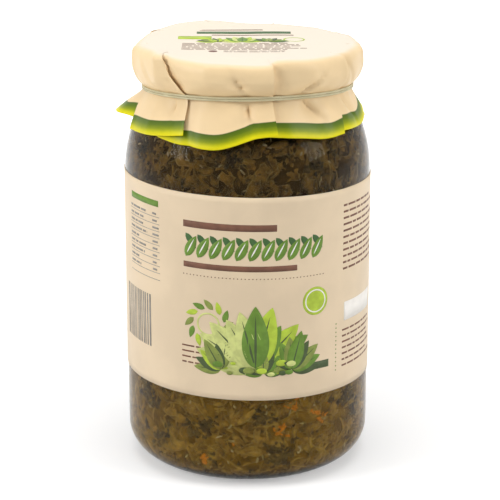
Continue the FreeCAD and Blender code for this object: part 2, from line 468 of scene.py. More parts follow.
class Wall:
    """The inside of the glass, by the distance along its outline from the middle of the base."""

    def __init__(self):
        points = np.array([p for p in glass_outline(WALL, BASE_THICKNESS) if p[1] <= FILL_Z])
        steps = np.hypot(*np.diff(points, axis=0).T)
        self.along = np.concatenate([[0], np.cumsum(steps)])
        self.radius, self.z = points.T
        self.slope = np.gradient(points, self.along, axis=0)
        self.length = self.along[-1]

    def up_to(self, z):
        """The distance along the outline at a height above the middle of the base."""
        rising = slice(BASE_STEPS + 2, None)
        return float(np.interp(z, self.z[rising], self.along[rising]))

    def at(self, distance):
        """Radius, height, and the outward normal's radial and upward parts."""
        curves = self.radius, self.z, self.slope[:, 0], self.slope[:, 1]
        radius, z, dr, dz = (np.interp(distance, self.along, curve) for curve in curves)
        size = math.hypot(dr, dz) or 1
        return radius, z, dz / size, -dr / size

    def point(self, turn, distance, out):
        """A place by its angle, its distance along the outline and how far it lies in the wall."""
        radius, z, normal_r, normal_z = self.at(distance)
        radius += out * normal_r
        return radius * math.sin(turn), -radius * math.cos(turn), z + out * normal_z


# --- contents

def make_core(wall):
    """Packed kraut and brine as one body, which reaches just into the glass."""
    rows, columns = 190, 340
    points = []
    for i in range(rows):
        distance = wall.length * (i / (rows - 1))
        for j in range(columns):
            turn = 2 * math.pi * j / columns
            where = Vector(wall.point(turn, distance, 0)) * 170
            out = 0.25 * MM + 0.25 * MM * noise.fractal(where, 1.0, 2.0, 3)
            points.append(wall.point(turn, distance, max(out, 0.05 * MM)))
    first = len(points)
    points.append((0, 0, FILL_Z))
    faces = grid_faces(rows, columns, wrap_columns=True)
    last_row = (rows - 1) * columns
    faces += [(last_row + j, last_row + (j + 1) % columns, first) for j in range(columns)]
    core = clean(add_mesh("kraut_core", points, faces))
    keep(core, core_look(), "sauerkraut", "contents")


# Where kale and carrot are crowded: angle and height in millimetres, and the carrot's spread.
KALE_CLUMPS = (
    (8, 28), (13, 15), (18, 13), (55, 30), (62, 24), (-51, 30), (-58, 34), (-22, 24), (-46, 15),
    (95, 20), (130, 30), (170, 15), (-110, 26), (-150, 18), (-8, 130), (34, 126), (-60, 128),
    (110, 127), (-130, 129),
)
CARROT_CLUMPS = (
    (22, 33, 2.6), (36, 28, 3.2), (15, 23.5, 2.6), (-21, 11, 1.6), (120, 24, 3.0), (-140, 31, 3.0),
    (175, 32, 2.5),
)


# A shred's section: place across and up, from -1 to 1, and how near it is to an edge
SHRED_SECTION = ((-1, 0, 1), (-0.45, 0.5, 0.3), (0.45, 0.5, 0.3), (1, 0, 1), (0, -0.5, 0))
SHRED_STEP = 1.2 * MM
SHRED_DIP = 0.5 * MM
LEAF_THICKNESS = 0.5 * MM
LEAF_RINGS = 3
RUFFLE_SIZE = 1.6 * MM
# Heights between which the label hides the contents, and the share of the pieces elsewhere
HIDDEN_FROM, HIDDEN_TO = 40 * MM, 112 * MM
BARE_SHARE = 0.97
# How far the pieces keep from the wall's two ends, along it
LOW_MARGIN, HIGH_MARGIN = 22 * MM, 8 * MM


def pick(rng, values):
    """A number between two values, or one of several."""
    return rng.uniform(*values) if len(values) == 2 else rng.choice(values)


class Heap:
    """Collects many small pieces into one mesh, with an edge value at each point.

    upper is the share of the pieces that lie above the label. Lengths are in millimetres, and a
    pair of them is a range to draw from.
    """

    def __init__(self, wall, seed, upper=0.3):
        self.points, self.faces, self.edge = [], [], []
        self.wall, self.rng, self.upper = wall, random.Random(seed), upper

    def place(self):
        """A random angle and distance, mostly where the glass is bare."""
        wall, rng = self.wall, self.rng
        bottom, top = wall.up_to(HIDDEN_FROM), wall.up_to(HIDDEN_TO)
        draw = rng.random()
        if draw < self.upper:
            low, high = top, wall.length - HIGH_MARGIN
        elif draw < BARE_SHARE:
            low, high = LOW_MARGIN, bottom
        else:
            low, high = bottom, top
        return rng.uniform(0, 2 * math.pi), rng.uniform(low, high)

    def strips(self, count, length, width, thickness, depth, bend):
        """Shreds: flat ribbons that wander over the glass, and dip into the core at their ends."""
        for _ in range(count):
            draws = [pick(self.rng, values) * MM for values in (length, width, depth)]
            self.strip(*draws, thickness * MM, bend)

    def strip(self, length, width, depth, thickness, bend):
        wall, rng = self.wall, self.rng
        steps = max(5, int(length / SHRED_STEP))
        turn, distance = self.place()
        heading, twist = rng.uniform(0, 2 * math.pi), rng.uniform(-0.5, 0.5)
        curl = rng.gauss(0, bend)
        first = len(self.points)
        for k in range(steps + 1):
            share = k / steps
            radius = wall.at(distance)[0]
            taper = math.sin(math.pi * min(max(share, 0.06), 0.94)) ** 0.35
            half = width / 2 * taper
            dip = depth - SHRED_DIP * (1 - math.sin(math.pi * share) ** 0.5)
            for side, up, rim in SHRED_SECTION:
                across = side * half
                d = distance + across * math.cos(heading)
                t = turn - across * math.sin(heading) / radius
                out = dip + up * thickness + across * math.sin(twist)
                self.points.append(wall.point(t, min(max(d, 2 * MM), wall.length), out))
                self.edge.append(rim)
            step = length / steps
            distance += step * math.sin(heading)
            distance = min(max(distance, 3 * MM), wall.length - 1 * MM)
            turn += step * math.cos(heading) / radius
            heading += curl * step / MM + rng.gauss(0, 0.10)
            twist += rng.gauss(0, 0.10)
        sides = len(SHRED_SECTION)
        self.faces += grid_faces(steps + 1, sides, first, wrap_columns=True)
        last = first + steps * sides
        self.faces.append(tuple(first + k for k in range(sides)))
        self.faces.append(tuple(last + sides - 1 - k for k in range(sides)))

    def leaves(self, count, size, depth, crinkle, spokes=11):
        for _ in range(count):
            draws = [pick(self.rng, values) * MM for values in (size, depth)]
            self.leaf(*draws, crinkle * MM, spokes)

    def clump(self, degrees, z, spread, count, size, crinkle):
        """Leaf pieces crowded round one place."""
        for _ in range(count):
            turn = math.radians(degrees) + self.rng.gauss(0, spread * MM / 2) / BODY_RADIUS
            where = turn, self.wall.up_to(z * MM) + self.rng.gauss(0, spread * MM / 2)
            draws = [pick(self.rng, values) * MM for values in (size, (0.25, 0.7))]
            self.leaf(*draws, crinkle * MM, where=where)

    def leaf(self, size, depth, crinkle, spokes=11, where=None):
        """A leaf piece: an uneven disc, ruffled by crinkle, that lies against the glass."""
        wall, rng = self.wall, self.rng
        turn, distance = where or self.place()
        radius = wall.at(distance)[0]
        stretch, lean = rng.uniform(0.3, 0.8), rng.uniform(0, math.pi)
        cos_lean, sin_lean = math.cos(lean), math.sin(lean)
        seed = Vector((rng.uniform(0, 99), rng.uniform(0, 99), 0))
        tilt = rng.uniform(-0.12, 0.12), rng.uniform(-0.12, 0.12)
        sheets = []
        for side in (1, -1):
            first = len(self.points)
            for ring in range(LEAF_RINGS + 1):
                share = ring / LEAF_RINGS
                for k in range(spokes):
                    angle = 2 * math.pi * k / spokes
                    lobe = Vector((math.cos(angle), math.sin(angle), 0)) * 2.1
                    reach = size / 2 * share * (1.05 + 0.95 * noise.noise(lobe + seed))
                    a, b = reach * math.cos(angle), reach * stretch * math.sin(angle)
                    x, y = a * cos_lean - b * sin_lean, a * sin_lean + b * cos_lean
                    out = depth + crinkle * noise.noise(Vector((x, y, 0)) / RUFFLE_SIZE + seed)
                    out += x * tilt[0] + y * tilt[1] + side * LEAF_THICKNESS / 2 * (1 - share**3)
                    d = min(max(distance + y, 2 * MM), wall.length)
                    self.points.append(wall.point(turn + x / radius, d, out))
                    self.edge.append(share**2)
            sheets.append(grid_faces(LEAF_RINGS + 1, spokes, first, wrap_columns=True))
        self.faces += sheets[0] + [face[::-1] for face in sheets[1]]

    def made(self, name, material):
        obj = add_mesh(name, self.points, self.faces, attributes={"edge": self.edge})
        keep(clean(obj), material, "sauerkraut")


# For each kind of piece: its darkest and lightest colour low down, the same two in painted shade up
# under the cover, and how much its edges are lightened by a painted reflection
SHRED_COLOURS = {
    "cabbage": (
        (0.12, 0.063, 0.008), (0.43, 0.250, 0.045),
        (0.030, 0.017, 0.003), (0.20, 0.108, 0.020), 0.30),
    "cabbage_leaf": (
        (0.10, 0.054, 0.008), (0.41, 0.230, 0.042),
        (0.022, 0.012, 0.003), (0.20, 0.108, 0.020), 0.22),
    "kale": (
        (0.036, 0.022, 0.005), (0.19, 0.120, 0.030),
        (0.012, 0.008, 0.003), (0.080, 0.050, 0.016), 0.1),
    "carrot": (
        (0.42, 0.14, 0.012), (0.72, 0.25, 0.020),
        (0.09, 0.045, 0.016), (0.20, 0.09, 0.03), 0.0),
    # Small pale specks: painted glints where pieces touch the glass
    "glint_speck": (
        (0.28, 0.20, 0.06), (0.60, 0.47, 0.22),
        (0.14, 0.10, 0.045), (0.40, 0.31, 0.17), 0.2),
}


def make_shreds(wall):
    """Cabbage in long shreds and leaf pieces, kale, carrot, and small pale specks that are painted
    glints where pieces touch the glass.
    """
    looks = {name: shred_look(name, *values) for name, values in SHRED_COLOURS.items()}

    heap = Heap(wall, 11, upper=0.2)
    heap.strips(1050, (5, 16), (1.1, 1.6, 2.3, 3.2), 0.45, (-0.1, 0.5), 0.12)
    heap.made("cabbage_shreds", looks["cabbage"])

    heap = Heap(wall, 16, upper=0.25)
    heap.strips(480, (3, 8), (0.4, 0.9), 0.4, (0.2, 0.65), 0.3)
    heap.made("cabbage_scraps", looks["cabbage"])

    heap = Heap(wall, 12, upper=0.42)
    heap.leaves(1450, (2.5, 7.5), (0.0, 0.5), 0.6, spokes=12)
    heap.made("cabbage_leaves", looks["cabbage_leaf"])

    heap = Heap(wall, 13)
    heap.leaves(330, (1.5, 2, 2, 3, 4), (0.2, 0.65), 0.8)
    for degrees, z in KALE_CLUMPS:
        heap.clump(degrees, z, 4.5, 28, (1.5, 4.2), 1.0)
    heap.made("kale_pieces", looks["kale"])

    heap = Heap(wall, 14)
    heap.strips(14, (2, 5), (1.0, 1.8), 0.6, (0.1, 0.5), 0.02)
    for degrees, z, spread in CARROT_CLUMPS:
        heap.clump(degrees, z, spread, int(4 * spread), (1.2, 3.4), 0.4)
    heap.made("carrot_bits", looks["carrot"])

    # Small pale specks, as painted glints on pieces against the glass
    heap = Heap(wall, 15, upper=0.45)
    heap.strips(230, (1.2, 2.8), (0.5, 1.0), 0.6, (0.4, 0.75), 0.02)
    heap.made("glint_specks", looks["glint_speck"])


# --- label

def on_label(across, up, lift=0.0):
    """A place on the label: across is along the paper from the front, up from its lower edge."""
    radius = LABEL_RADIUS + LABEL_THICKNESS + lift
    turn = across / LABEL_RADIUS
    x = radius * math.sin(turn)
    return x, -radius * math.cos(turn), LABEL_LOW + up - LABEL_TILT * x


def label_height():
    low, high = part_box("label")
    return high[2] - low[2] - 2 * LABEL_TILT * LABEL_RADIUS


LABEL_LAP = 8 * MM


def make_label():
    """Paper wrapped once round the wall, lapped at the back, and here and there not quite flat."""
    half_turn = math.pi * LABEL_RADIUS
    height = label_height()
    columns, rows = 360, 34
    points = []
    for i in range(rows):
        up = height * i / (rows - 1)
        for j in range(columns):
            share = j / (columns - 1)
            across = -half_turn + (2 * half_turn + LABEL_LAP) * share
            over = smoothstep((across - half_turn + 4 * MM) / (4 * MM))
            ripple = 0.05 * MM * noise.noise(Vector((across * 60, up * 25, 3)))
            lift = over * (LABEL_THICKNESS + 0.05 * MM) + max(ripple, 0)
            points.append(on_label(across, up, lift))
    label = add_mesh("label_sheet", points, grid_faces(rows, columns))
    solidify(label, LABEL_THICKNESS)
    keep(label, label_look(), "label_paper", "label")


PATCH_STEP = 1.2 * MM
INK_THICKNESS = 0.03 * MM


def metres(*millimetres):
    return [value * MM for value in millimetres]


class Print:
    """Thin flat shapes of ink, in millimetres, that follow a surface.

    place maps across, up and lift to a point, all in metres.
    """

    def __init__(self, place):
        self.place = place
        self.inks = {}

    def patch(self, ink, grid, lift, wrap=False):
        points, faces = self.inks.setdefault(ink, ([], []))
        rows, columns = len(grid), len(grid[0])
        first = len(points)
        points += [self.place(across, up, lift * MM) for row in grid for across, up in row]
        faces += grid_faces(rows, columns, first, wrap_columns=wrap)

    def bar(self, ink, left, low, width, height):
        """A rectangle, divided finely enough to follow a curve."""
        left, low, width, height = metres(left, low, width, height)
        last = max(1, int(width / PATCH_STEP) + 1)
        places = [left + width * k / last for k in range(last + 1)]
        self.patch(ink, [[(across, up) for across in places] for up in (low, low + height)], 0.04)

    def disc(self, ink, across, up, radius, hole=0.0, lift=0.04, squash=1.0):
        across, up, radius, hole = metres(across, up, radius, hole)
        spokes, rings = 36, max(2, int((radius - hole) / PATCH_STEP) + 2)
        angles = [2 * math.pi * k / spokes for k in range(spokes)]
        grid = []
        for ring in range(rings):
            r = hole + (radius - hole) * ring / (rings - 1)
            grid.append([(across + r * math.cos(a), up + squash * r * math.sin(a)) for a in angles])
        self.patch(ink, grid, lift, wrap=True)

    def leaf(self, ink, across, up, length, width, degrees, lift=0.04, point=0.8):
        """A pointed oval that starts at a place and grows in one direction."""
        across, up, length, width = metres(across, up, length, width)
        steps, sides = max(6, int(length / (1.0 * MM))), 5
        turn = math.radians(degrees)
        grid = []
        for k in range(steps + 1):
            share = k / steps
            half = width / 2 * math.sin(math.pi * share**point) ** 0.8 + 0.02 * MM
            row = []
            for side in range(sides):
                off = half * (2 * side / (sides - 1) - 1)
                row.append((
                    across + length * share * math.cos(turn) - off * math.sin(turn),
                    up + length * share * math.sin(turn) + off * math.cos(turn),
                ))
            grid.append(row)
        self.patch(ink, grid, lift)

    def lines(self, ink, left, top, width, rows, pitch, height, rng, ragged=0.35):
        """Rows of thin dashes of uneven length, like a plain filled-in form."""
        for row in range(rows):
            at, end = left, left + width * (1 - rng.uniform(0, ragged))
            while at < end:
                dash = min(rng.uniform(1.6, 5.5), end - at)
                self.bar(ink, at, top - row * pitch, dash, height)
                at += dash + 0.7

    def fan(self, across, up, size, inks, leaves, spread, rng, tilt=90):
        """Leaves that grow out of one point, the back ones first."""
        order = sorted(range(leaves), key=lambda k: -abs(2 * k - leaves + 1))
        for rank, k in enumerate(order):
            degrees = tilt + spread * (k / (leaves - 1) - 0.5)
            length = size * rng.uniform(0.8, 1.05)
            lift = 0.05 + 0.012 * rank
            ink = inks[rank % len(inks)]
            self.leaf(ink, across, up, length, length * 0.42, degrees, lift, 0.75)
            self.leaf("dark", across, up, length * 0.85, length * 0.035, degrees, lift + 0.006)

    def made(self, name, slot, looks):
        for ink, (points, faces) in self.inks.items():
            obj = clean(add_mesh(f"{name}_{ink}", points, faces))
            solidify(obj, INK_THICKNESS)
            keep(obj, looks[ink], slot)


def print_label(looks):
    """Plain shapes in place of words and pictures: bars, dashes, fans and a ring of leaves."""
    page = Print(on_label)
    rng = random.Random(5)
    top = label_height() / MM

    # Heading: a brown bar, a row of upright leaves over hanging ones, and a bar over dots.
    page.bar("brown", -25, top - 13.0, 36, 2.6)
    for k in range(11):
        left = -24 + 4.95 * k
        page.leaf("green", left, top - 24.4, 9.4, 4.0, 62, lift=0.05)
        page.leaf("white", left + 0.5, top - 23.0, 6.4, 0.5, 62, lift=0.06)
        page.leaf("deep", left, top - 15.4, 7.0, 2.6, -52)
    page.bar("brown", -25, top - 28.6, 44, 2.2)
    for k in range(40):
        page.disc("brown", -25 + 1.42 * k, top - 31.4, 0.22)

    # A ring of leaves on the left, fans of leaves over a low mound, and a disc on the right.
    for k in range(12):
        degrees = 30 * k + 12
        across = -15 + 6.2 * math.cos(math.radians(degrees))
        up = 29.5 + 6.2 * math.sin(math.radians(degrees))
        ink = ("green", "lime", "olive")[k % 3]
        page.leaf(ink, across, up, 5.2, 2.3, degrees + 62, lift=0.05)
    page.disc("pale", -15, 29.5, 4.6, hole=3.9)
    page.fan(3, 13, 24, ("lime", "pale", "green", "pale"), 11, 150, rng)
    page.fan(17, 12, 15, ("dark", "olive", "green"), 9, 150, rng, tilt=75)
    page.fan(-10, 12, 13, ("dark", "olive", "lime"), 8, 140, rng, tilt=110)
    page.fan(6, 11, 11, ("dark", "green", "olive"), 9, 170, rng)
    page.disc("lime", 27, 38, 5.6)
    page.disc("white", 27, 38, 4.6, hole=4.1, lift=0.06)
    for k in range(15):
        size = rng.uniform(1.0, 2.2)
        ink = ("lime", "dark", "olive", "green", "pale")[k % 5]
        across, up = rng.uniform(-12, 24), rng.uniform(10.5, 15)
        page.disc(ink, across, up, size, squash=0.6, lift=0.20 + 0.01 * k)

    # Small dashes beside them, and a plain dark bar low on the right.
    page.lines("brown", -26, 19.5, 12, 4, 2.2, 0.6, rng)
    page.bar("dark", 25, 10.5, 8.5, 3.0)

    # Left: a green header over ruled lines, and a block of stripes below.
    page.bar("green", -56, top - 8.0, 19, 2.4)
    for row in range(10):
        page.bar("grey", -57, top - 12.2 - 2.75 * row, 20.5, 0.22)
    page.lines("grey", -56.6, top - 11.3, 13, 9, 2.75, 0.8, rng, 0.5)
    for row in range(9):
        page.bar("grey", -40.5, top - 11.3 - 2.75 * row, rng.uniform(2, 3.6), 0.8)
    at = -62.0
    while at < -42:
        width = rng.choice((0.3, 0.45, 0.7, 1.0))
        page.bar("grey", at, 15, width, 21)
        at += width + rng.choice((0.35, 0.5, 0.8))

    # Right: brown dashes, a white field, and more dashes below it.
    page.lines("brown", 41, top - 7, 30, 11, 2.5, 0.8, rng, 0.25)
    page.bar("white", 42, 27, 24, 7.5)
    page.lines("brown", 41, 23, 28, 7, 2.4, 0.7, rng, 0.3)
    for k in range(12):
        page.disc("green", 37.4, 8 + 1.7 * k, 0.28)
    page.made("label_print", "label_paper", looks)


# --- paper cover

WAIST_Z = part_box("elastic_band")[0][2] / 2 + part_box("elastic_band")[1][2] / 2
WAIST_LEAN = math.tan(math.radians(3.7))
WAIST_TILT = math.tan(math.radians(0.4))
COVER_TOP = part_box("paper_cover")[1][2]
PAPER = 0.14 * MM
BORDER = 5.8 * MM

# The paper's outside from the middle of the top down to the waist: radius, and height below the
# top, in millimetres.
OUTLINE = (
    (0, 0.25),
    (20, 0.15),
    (34, 0.05),
    (40.8, 0.12),
    (42.8, 0.45),
    (43.8, 1.2),
    (44.3, 2.4),
    (44.6, 5),
    (44.5, 8.6),
    (43.3, 12),
    (41.6, 14.6),
    (40.5, 15.7),
    (39.95, 16.6),
    (39.9, 17.7),
)
SKIRT_LENGTH = 16.0

# Folds: the angle of each fold's outer edge at the rim, the waist and the hem, how many degrees
# the paper laps there, 1 if the lap's outer edge belongs to the panel before it, else -1, and how
# far its layers stand apart.
Fold = namedtuple("Fold", "rim waist hem lap side apart")
FOLDS = [Fold(*values) for values in (
    (-84, -80, -76, 9, -1, 1.3),
    (-51, -35, -31, 18, 1, 1.5),
    (12, 13, 14, 7, 1, 1.6),
    (54, 58, 51.5, 8, 1, 1.5),
    (82, 84, 88, 9, 1, 1.3),
    (121, 124, 130, 10, 1, 1.0),
    (165, 166, 170, 12, -1, 1.2),
    (204, 207, 212, 9, 1, 1.0),
    (240, 243, 246, 9, 1, 1.2),
)]
# For the panel after each fold, from its start to its end: the hem's height above the lowest
# hem, in millimetres.
HEMS = (
    ((0, 0.2), (0.5, 1.5), (1, 4.2)),
    ((0, 1.3), (0.3, 0.5), (0.56, 0.1), (0.84, 4.4), (1, 5.3)),
    ((0, 5), (0.41, 3.5), (0.75, 2), (1, 2.6)),
    ((0, 3.3), (0.4, 2.8), (0.7, 2.4), (0.88, 4.4), (1, 7.5)),
    ((0, 5), (0.3, 2.4), (0.6, 1), (1, 3.4)),
    ((0, 2), (0.5, 0.6), (1, 2.4)),
    ((0, 1.6), (0.5, 3.2), (1, 1)),
    ((0, 1.4), (0.5, 0.6), (1, 3.8)),
    ((0, 3), (0.35, 4.2), (0.7, 4.4), (1, 3.4)),
)
LOWEST_HEM = 134.0 * MM
# How steeply the skirt stands out, and how much the rim rises in millimetres, by angle.
FLARE = (
    (-180, 0.58), (-165, 0.50), (-145, 0.48), (-125, 0.60), (-112, 0.90), (-99, 1.22), (-90, 1.10),
    (-83, 0.64), (-76, 0.44), (-60, 0.40), (-45, 0.44), (-33, 0.50), (-27, 0.41), (-10, 0.44),
    (4, 0.52), (13, 0.55), (22, 0.42), (38, 0.42), (50, 0.46), (58, 0.40), (75, 0.40), (86, 0.52),
    (100, 0.50), (118, 0.50), (135, 0.62), (150, 0.48), (165, 0.60), (180, 0.58),
)
RIM_RISE = (
    (-180, 0.3), (-150, 2.3), (-118, 1.0), (-80, 0.0), (-60, 0.8), (-50, 0.6), (-40, -0.3),
    (-20, -0.8), (-5, -1.2), (10, -1.0), (16, 0.8), (30, 0.2), (50, 0.0), (90, 0.2), (120, 0.0),
    (150, 0.0), (180, 0.3),
)

# Creases: angle and distance along the paper at both ends, depth, and half width. A crease is
# steeper on one side than on the other, and one with a depth below 0 stands out as a ridge.
CREASES = (
    (-8, 45, 1, 61, 2.4, 1.1),
    (-11, 52, -3, 59.5, -0.8, 1.3),
    (39, 50.5, 28, 61, 3, 1.1),
    (42, 50, 34, 59, -0.7, 1.5),
    (60, 47, 74, 60, 1, 1),
    (-47, 43, -42, 51, 1.3, 0.9),
    (-54, 41, -50, 47, -0.9, 1),
    (-44, 50, -34, 60, 0.8, 0.7),
    (14.8, 60, 14, 42, 0.8, 0.9),
    (60.5, 60, 57.5, 42, 1.1, 0.9),
    (85, 42, 86.5, 58, 0.9, 0.8),
    (-30, 56, -33, 60.5, -0.7, 1.2),
    (-64, 48, -53, 60, 0.7, 1.5),
    (-72, 43, -61, 57, -0.4, 2),
    (20, 45, 19, 58, 0.4, 1.6),
    (-42, 60.8, -41, 70, 1.5, 1),
    (-29.5, 62, -28.5, 78, 0.5, 0.7),
    (-55, 62, -57, 76, -0.6, 1.8),
    (-1.5, 60.5, 4, 73, 3, 1.3),
    (-6, 62, -1.5, 70, -1.4, 1.3),
    (29.5, 60.5, 41, 70, 3.2, 1.5),
    (44, 62, 45, 70, -0.8, 1.8),
    (62, 60.8, 70, 72, 1.8, 1.3),
    (100, 46, 108, 59, 0.8, 1.2),
    (145, 48, 139, 59, 0.7, 1.3),
    (187, 47, 190, 60, 0.8, 1.1),
    (226, 49, 221, 59, 0.7, 1.3),
    (152, 62, 148, 74, 0.9, 1.4),
    (188, 62, 192, 73, 1, 1.4),
    (228, 62, 224, 74, 0.9, 1.4),
    (110, 62, 104, 75, 1, 1.6),
)
# Corners of the rim, where the paper turns over the edge of the cap in short straight stretches.
RIM_CORNERS = (-118, -84, -51, -20, 12.5, 34, 57, 84, 112, 140, 163, 200, 222)


def between_corners(degrees):
    """How much closer to the axis a chord between two of the rim's corners is than its circle."""
    corners = list(RIM_CORNERS) + [RIM_CORNERS[0] + 360]
    turned_to = (degrees - corners[0]) % 360 + corners[0]
    for left, right in zip(corners, corners[1:]):
        if turned_to <= right:
            half = math.radians((right - left) / 2)
            off = math.radians(turned_to - (left + right) / 2)
            return 1 - math.cos(half) / math.cos(off)
    return 0.0


def crease_depth(degrees, along, radius):
    """How far the creases press the paper in, in metres."""
    total = 0.0
    for a0, s0, a1, s1, depth, width in CREASES:
        gap = (degrees - a0 + 180) % 360 - 180
        x, y = math.radians(gap) * radius / MM, along - s0
        dx, dy = math.radians(a1 - a0) * radius / MM, s1 - s0
        share = (x * dx + y * dy) / (dx * dx + dy * dy)
        near = min(max(share, 0), 1)
        off = math.hypot(x - near * dx, y - near * dy)
        fade = math.sin(math.pi * min(max(share, 0.12), 0.88)) if 0 <= share <= 1 else 0.35
        steep = x * dy > y * dx
        total += depth * MM * fade * math.exp(-off / (width * (0.8 if steep else 2.0)))
    return total


def measured(outline):
    """The outline's radii and heights below the top, each against the distance along the paper."""
    radii, drops, along = [], [], 0.0
    for k, (radius, drop) in enumerate(outline):
        if k:
            along += math.hypot(radius - outline[k - 1][0], drop - outline[k - 1][1])
        radii.append((along, radius))
        drops.append((along, drop))
    return radii, drops


RADII, DROPS = measured(OUTLINE)
SKIRT_START = RADII[-1][0]
BAND_ALONG = RADII[-2][0]
GLASS_Z, GLASS_RADII = zip(*[(z, r) for r, z in glass_outline(0, 0) if z > 100 * MM])


def by_angle(knots, degrees):
    return through(knots, (degrees + 180) % 360 - 180)


def fold_edge(fold, along):
    """The angle of a fold's outer edge at a distance along the paper."""
    knots = ((40.0, fold.rim), (58.0, fold.waist), (SKIRT_START + SKIRT_LENGTH, fold.hem))
    return through(knots, along)


def fold_lap(fold, along):
    """How many degrees the paper laps there. Nothing is folded on the flat top."""
    return fold.lap * smoothstep((along - 38) / 18)


def lap_depth(along):
    """How far apart the outer and inner layers of a fold lie."""
    side = 0.9 * smoothstep((along - 39) / 5)
    pressed = 0.4 * smoothstep((along - 54) / 5)
    free = 0.4 * smoothstep((along - SKIRT_START) / SKIRT_LENGTH)
    return (side - pressed + free) * MM


def cover_columns():
    """The sheet's columns: panel, share of its width, and how far round the fold after it."""
    shares = [0, 0.012, *(k / 30 for k in range(1, 30)), 0.988, 1]
    columns = []
    for panel in range(len(FOLDS)):
        columns += [(panel, share, None) for share in shares]
        columns += [(panel, 1.0, share) for share in (0.03, 0.2, 0.5, 0.8, 0.97)]
    return columns


def column_place(panel, share, in_fold, along):
    """Angle of one column at a distance along the paper, and its layer: 0 outside, 1 underneath."""
    before, after = FOLDS[panel], FOLDS[(panel + 1) % len(FOLDS)]
    full_turn = 360 if panel == len(FOLDS) - 1 else 0
    start, end = fold_edge(before, along), fold_edge(after, along) + full_turn
    lap, lap_before = fold_lap(after, along), fold_lap(before, along)
    if in_fold is not None:
        if after.side == 1:
            layer = 0.3 + 0.4 * in_fold - 0.35 * (1 - in_fold) ** 2
            return end - lap * in_fold, after.apart * layer
        layer = 0.7 - 0.4 * in_fold - 0.35 * in_fold**2
        return end + lap * (1 - in_fold), after.apart * layer
    under_start, under_end = before.side == 1, after.side == -1
    start -= lap_before * under_start
    end += lap * under_end
    from_start, from_end = (end - start) * share, (end - start) * (1 - share)
    if under_start:
        sunk = before.apart * (1 - smoothstep((from_start - lap_before) / 8))
    else:
        sunk = -0.35 * before.apart * (1 - smoothstep(from_start / 4))
    if under_end:
        sunk += after.apart * (1 - smoothstep((from_end - lap) / 8))
    else:
        sunk -= 0.35 * after.apart * (1 - smoothstep(from_end / 4))
    return start + from_start, sunk


# Zones along the paper, as window reads them: the rim's rise, its corners, and the round side
RIM_ZONE = 31, 10, 47, 9
CORNER_ZONE = 33, 9, 52, 7
SIDE_ZONE = 42, 5, 53, 6


def window(along, start, rise, end, fall):
    """1 between two distances along the paper: up over rise from start, and down after end."""
    return smoothstep((along - start) / rise) * (1 - smoothstep((along - end) / fall))


def uneven(x, y):
    """How far the top lies above the even shape at one place."""
    return 0.2 * MM * noise.noise(Vector((x, y, 0)) * 55)


def cover_point(panel, share, in_fold, along):
    """A place on the paper's outside, with its distance from the hem in border widths."""
    degrees, layer = column_place(panel, share, in_fold, along)
    turn = math.radians(degrees)
    rounded = math.sin(turn), -math.cos(turn)
    rise = WAIST_TILT * rounded[0] - WAIST_LEAN * rounded[1]
    flat = Vector((rounded[0] * 3, rounded[1] * 3, along / 12))
    if along <= SKIRT_START:
        radius = through(RADII, along) * MM
        z = COVER_TOP - through(DROPS, along) * MM
        radius *= 1 - 0.85 * window(along, *CORNER_ZONE) * between_corners(degrees)
        side = window(along, *SIDE_ZONE)
        radius += (0.35 * side * math.sin(math.pi * share) ** 0.7 + 0.1 * side) * MM
        z += 0.85 * window(along, *RIM_ZONE) * by_angle(RIM_RISE, degrees) * MM
        z += uneven(rounded[0] * radius, rounded[1] * radius)
        z += rise * radius * smoothstep((along - 45) / (BAND_ALONG - 45))
        hem = TOP_MARK - (TOP_MARK - SIDE_MARK) * smoothstep((along - 40) / 5)
    else:
        down = (along - SKIRT_START) / SKIRT_LENGTH
        hem_z = LOWEST_HEM + through(HEMS[panel], share) * MM
        waist_radius = RADII[-1][1] * MM
        waist_z = COVER_TOP - DROPS[-1][1] * MM + rise * waist_radius
        drop = (waist_z - hem_z) * down
        flare = by_angle(FLARE, degrees) * (0.75 + 0.25 * smoothstep(drop / (6 * MM)))
        billow = 0.4 * MM * math.sin(math.pi * min(drop / (15 * MM), 1))
        radius = waist_radius + flare * drop + billow
        z = waist_z - drop
        along = SKIRT_START + drop / MM
        least = np.interp(z, GLASS_Z, GLASS_RADII) + 1.3 * MM
        radius = max(radius, least)
        hem = (waist_z - hem_z - drop) * math.hypot(1, flare) / BORDER
    band = math.exp(-(((along - BAND_ALONG) / 1.3) ** 2))
    waist = math.exp(-(((along - BAND_ALONG) / 4.5) ** 2)) - 0.75 * band
    pucker = noise.noise(Vector((rounded[0] * 13, rounded[1] * 13, along / 22)))
    out = 0.5 * MM * waist * pucker
    out += 0.16 * MM * noise.noise(flat * 2.3) * smoothstep((along - 36) / 10)
    out -= crease_depth(degrees, along, radius) * (1 - 0.8 * band)
    radius += out - layer * lap_depth(along)
    return (radius * rounded[0], radius * rounded[1], z), hem


def cover_rows():
    """Distances along the paper: coarse on the flat top, fine at the rim, waist and hem."""
    end = SKIRT_START + SKIRT_LENGTH
    zones = (0, 34, 9), (34, 44, 16), (44, SKIRT_START, 32), (SKIRT_START, end, 28)
    return [low + (high - low) * k / n for low, high, n in zones for k in range(1, n + 1)]


def make_cover():
    """One sheet of paper, pleated over the cap and gathered at the waist."""
    columns, rows = cover_columns(), cover_rows()
    points, hems = [], []
    for along in rows:
        for panel, share, in_fold in columns:
            point, hem = cover_point(panel, share, in_fold, along)
            points.append(point)
            hems.append(hem)
    middle = len(points)
    points.append((0, 0, COVER_TOP - DROPS[0][1] * MM))
    hems.append(TOP_MARK)
    faces = grid_faces(len(rows), len(columns), wrap_columns=True)
    faces += [((j + 1) % len(columns), j, middle) for j in range(len(columns))]
    cover = clean(add_mesh("cover_sheet", points, faces, attributes={"hem": hems}), 2e-6)
    cover.data.set_sharp_from_angle(angle=math.radians(55))
    solidify(cover, PAPER)
    keep(cover, cover_look(), "cover_paper", "paper_cover")


